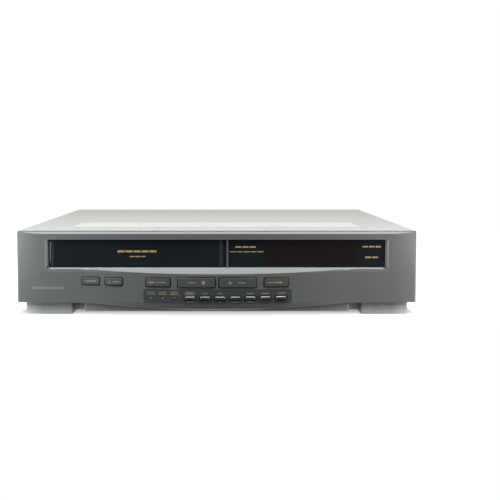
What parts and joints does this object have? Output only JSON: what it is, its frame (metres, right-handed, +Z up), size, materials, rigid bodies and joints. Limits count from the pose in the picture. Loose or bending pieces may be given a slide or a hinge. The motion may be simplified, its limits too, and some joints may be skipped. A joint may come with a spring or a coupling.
{
  "type": "video cassette recorder",
  "caption": "Slim video cassette recorder with a bulged key panel, a sprung cassette flap, a front-loading carriage, a display window and a rotating-head tape deck inside.",
  "frame": {"origin": "centre of the footprint, on the table under the feet", "axes": "+X to the right seen from the front, front towards -Y, +Z up"},
  "size_m": [0.434, 0.3445, 0.09],
  "materials": {
    "cover_paint": "fine-textured pale grey paint on sheet steel",
    "bezel_plastic": "fine-grained metallic grey moulding",
    "chin_plastic": "fine-grained grey moulding",
    "key_plastic": "satin dark grey moulding",
    "small_key_plastic": "satin near-black grey moulding",
    "plate_plastic": "satin blue-grey plate",
    "gloss_black": "glossy black, like piano lacquer",
    "tinted_lens": "smoked acrylic, glossy",
    "zinc_steel": "zinc-plated sheet steel",
    "bright_steel": "bright ground steel",
    "aluminium": "turned aluminium",
    "black_plastic": "black moulding",
    "natural_plastic": "unpigmented acetal",
    "rubber": "matt black rubber",
    "board": "paper-based circuit board with parts",
    "tube_glass": "dark display tube behind the lens",
    "brass": "plated contacts",
    "rear_paint": "black painted sheet steel"
  },
  "bodies": {
    "root": {"top_cover": "cover_paint", "cover_screws": "bright_steel", "front_bezel": "bezel_plastic", "front_skirt": "chin_plastic", "display_window": "tinted_lens", "display_tube": "tube_glass", "front_board": "board", "key_plate": "plate_plastic", "flap_spring": "bright_steel", "base_pan": "zinc_steel", "front_feet": "chin_plastic", "rear_feet": "rubber", "rear_panel": "rear_paint", "scart_socket_1": "black_plastic", "scart_socket_2": "black_plastic", "phono_sockets": "brass", "aerial_unit": "zinc_steel", "mains_inlet": "black_plastic", "main_board": "board", "power_supply": "board", "deck_chassis": "zinc_steel", "carriage_frame": "zinc_steel", "drum_base": "aluminium", "capstan_motor": "board", "drive_belt": "rubber", "loading_motor": "zinc_steel", "tape_heads": "bright_steel"},
    "flap": {"cassette_flap": "gloss_black"},
    "carriage": {"carriage_slider": "bright_steel"},
    "holder": {"cassette_holder": "bright_steel"},
    "drum": {"head_drum": "aluminium"},
    "capstan": {"capstan": "bright_steel"},
    "clutch": {"clutch_gear": "natural_plastic"},
    "idler": {"idler_gear": "natural_plastic"},
    "takeup": {"takeup_reel": "black_plastic"},
    "supply": {"supply_reel": "black_plastic"},
    "supply_guide": {"supply_guide": "bright_steel"},
    "takeup_guide": {"takeup_guide": "bright_steel"},
    "loading_gear": {"loading_gear": "natural_plastic"},
    "loading_pinion": {"loading_pinion": "natural_plastic"},
    "tension_arm": {"tension_arm": "bright_steel"},
    "pinch_arm": {"pinch_arm": "bright_steel"},
    "pinch_roller": {"pinch_roller": "rubber"},
    "power_key": {"power_key": "key_plastic"},
    "eject_key": {"eject_key": "key_plastic"},
    "rewind_key": {"rewind_key": "key_plastic"},
    "stop_key": {"stop_key": "key_plastic"},
    "play_key": {"play_key": "key_plastic"},
    "fast_forward_key": {"fast_forward_key": "key_plastic"},
    "small_key_1": {"small_key_1": "small_key_plastic"},
    "small_key_2": {"small_key_2": "small_key_plastic"},
    "small_key_3": {"small_key_3": "small_key_plastic"},
    "small_key_4": {"small_key_4": "small_key_plastic"},
    "small_key_5": {"small_key_5": "small_key_plastic"},
    "small_key_6": {"small_key_6": "small_key_plastic"},
    "small_key_7": {"small_key_7": "small_key_plastic"},
    "pin_key_1": {"pin_key_1": "small_key_plastic"},
    "pin_key_2": {"pin_key_2": "small_key_plastic"},
    "pin_key_3": {"pin_key_3": "small_key_plastic"}
  },
  "joints": [
    {"name": "flap_hinge", "type": "hinge", "parent": "root", "child": "flap", "pos_m": [-0.085, -0.15475, 0.07895], "axis": [-1, 0, 0], "range_deg": [-88, 0], "stiffness_Nm_per_rad": 0.004, "springref_deg": 20.05},
    {"name": "power_press", "type": "slide", "parent": "root", "child": "power_key", "axis": [0, 1, 0], "range_m": [0, 0.001], "stiffness_N_per_m": 900, "springref_m": -0.0005},
    {"name": "eject_press", "type": "slide", "parent": "root", "child": "eject_key", "axis": [0, 1, 0], "range_m": [0, 0.001], "stiffness_N_per_m": 900, "springref_m": -0.0005},
    {"name": "rewind_press", "type": "slide", "parent": "root", "child": "rewind_key", "axis": [0, 1, 0], "range_m": [0, 0.001], "stiffness_N_per_m": 900, "springref_m": -0.0005},
    {"name": "stop_press", "type": "slide", "parent": "root", "child": "stop_key", "axis": [0, 1, 0], "range_m": [0, 0.001], "stiffness_N_per_m": 900, "springref_m": -0.0005},
    {"name": "play_press", "type": "slide", "parent": "root", "child": "play_key", "axis": [0, 1, 0], "range_m": [0, 0.001], "stiffness_N_per_m": 900, "springref_m": -0.0005},
    {"name": "fast_forward_press", "type": "slide", "parent": "root", "child": "fast_forward_key", "axis": [0, 1, 0], "range_m": [0, 0.001], "stiffness_N_per_m": 900, "springref_m": -0.0005},
    {"name": "small_press_1", "type": "slide", "parent": "root", "child": "small_key_1", "axis": [0, 1, 0], "range_m": [0, 0.001], "stiffness_N_per_m": 900, "springref_m": -0.0005},
    {"name": "small_press_2", "type": "slide", "parent": "root", "child": "small_key_2", "axis": [0, 1, 0], "range_m": [0, 0.001], "stiffness_N_per_m": 900, "springref_m": -0.0005},
    {"name": "small_press_3", "type": "slide", "parent": "root", "child": "small_key_3", "axis": [0, 1, 0], "range_m": [0, 0.001], "stiffness_N_per_m": 900, "springref_m": -0.0005},
    {"name": "small_press_4", "type": "slide", "parent": "root", "child": "small_key_4", "axis": [0, 1, 0], "range_m": [0, 0.001], "stiffness_N_per_m": 900, "springref_m": -0.0005},
    {"name": "small_press_5", "type": "slide", "parent": "root", "child": "small_key_5", "axis": [0, 1, 0], "range_m": [0, 0.001], "stiffness_N_per_m": 900, "springref_m": -0.0005},
    {"name": "small_press_6", "type": "slide", "parent": "root", "child": "small_key_6", "axis": [0, 1, 0], "range_m": [0, 0.001], "stiffness_N_per_m": 900, "springref_m": -0.0005},
    {"name": "small_press_7", "type": "slide", "parent": "root", "child": "small_key_7", "axis": [0, 1, 0], "range_m": [0, 0.001], "stiffness_N_per_m": 900, "springref_m": -0.0005},
    {"name": "pin_press_1", "type": "slide", "parent": "root", "child": "pin_key_1", "axis": [0, 1, 0], "range_m": [0, 0.001], "stiffness_N_per_m": 700, "springref_m": -0.0005},
    {"name": "pin_press_2", "type": "slide", "parent": "root", "child": "pin_key_2", "axis": [0, 1, 0], "range_m": [0, 0.001], "stiffness_N_per_m": 700, "springref_m": -0.0005},
    {"name": "pin_press_3", "type": "slide", "parent": "root", "child": "pin_key_3", "axis": [0, 1, 0], "range_m": [0, 0.001], "stiffness_N_per_m": 700, "springref_m": -0.0005},
    {"name": "carriage_in", "type": "slide", "parent": "root", "child": "carriage", "axis": [0, 1, 0], "range_m": [0, 0.063]},
    {"name": "carriage_down", "type": "slide", "parent": "carriage", "child": "holder", "axis": [0, 0, -1], "range_m": [0, 0.019]},
    {"name": "drum_spin", "type": "hinge", "parent": "root", "child": "drum", "pos_m": [-0.085, 0.05225, 0.035], "axis": [0.0872, 0, 0.9962], "continuous": true},
    {"name": "capstan_spin", "type": "hinge", "parent": "root", "child": "capstan", "pos_m": [-0.027, 0.01025, 0.027], "axis": [0, 0, 1], "continuous": true},
    {"name": "clutch_spin", "type": "hinge", "parent": "root", "child": "clutch", "pos_m": [-0.085, -0.03975, 0.027], "axis": [0, 0, 1], "continuous": true},
    {"name": "idler_spin", "type": "hinge", "parent": "root", "child": "idler", "pos_m": [-0.06515, -0.03731, 0.027], "axis": [0, 0, 1], "continuous": true},
    {"name": "takeup_spin", "type": "hinge", "parent": "root", "child": "takeup", "pos_m": [-0.039, -0.05575, 0.027], "axis": [0, 0, 1], "continuous": true},
    {"name": "supply_spin", "type": "hinge", "parent": "root", "child": "supply", "pos_m": [-0.131, -0.05575, 0.027], "axis": [0, 0, 1], "continuous": true},
    {"name": "loading_turn", "type": "hinge", "parent": "root", "child": "loading_gear", "pos_m": [-0.155, 0.07725, 0.027], "axis": [0, 0, 1], "range_deg": [0, 250]},
    {"name": "pinion_turn", "type": "hinge", "parent": "root", "child": "loading_pinion", "pos_m": [-0.155, 0.10825, 0.027], "axis": [0, 0, 1], "range_deg": [-858, 0]},
    {"name": "takeup_guide_turn", "type": "hinge", "parent": "root", "child": "takeup_guide", "pos_m": [-0.0986, 0.03735, 0.027], "axis": [0, 0, 1], "range_deg": [0, 75]},
    {"name": "supply_guide_turn", "type": "hinge", "parent": "root", "child": "supply_guide", "pos_m": [-0.0714, 0.03735, 0.027], "axis": [0, 0, 1], "range_deg": [-75, 0]},
    {"name": "tension_turn", "type": "hinge", "parent": "root", "child": "tension_arm", "pos_m": [-0.155, 0.02025, 0.027], "axis": [0, 0, 1], "range_deg": [-15, 0]},
    {"name": "pinch_turn", "type": "hinge", "parent": "root", "child": "pinch_arm", "pos_m": [-0.001, 0.03825, 0.027], "axis": [0, 0, 1], "range_deg": [-25, 0]},
    {"name": "pinch_roller_spin", "type": "hinge", "parent": "pinch_arm", "child": "pinch_roller", "pos_m": [-0.00631, 0.00812, 0.027], "axis": [0, 0, 1], "continuous": true}
  ],
  "couplings": [
    {"joint": "clutch_spin", "follows": "capstan_spin", "ratio": 0.45},
    {"joint": "idler_spin", "follows": "capstan_spin", "ratio": -0.3},
    {"joint": "takeup_spin", "follows": "capstan_spin", "ratio": 0.18},
    {"joint": "pinion_turn", "follows": "loading_turn", "ratio": -3.4286},
    {"joint": "takeup_guide_turn", "follows": "loading_turn", "ratio": 0.3},
    {"joint": "supply_guide_turn", "follows": "loading_turn", "ratio": -0.3},
    {"joint": "tension_turn", "follows": "loading_turn", "ratio": -0.06},
    {"joint": "pinch_turn", "follows": "loading_turn", "ratio": -0.1}
  ]
}
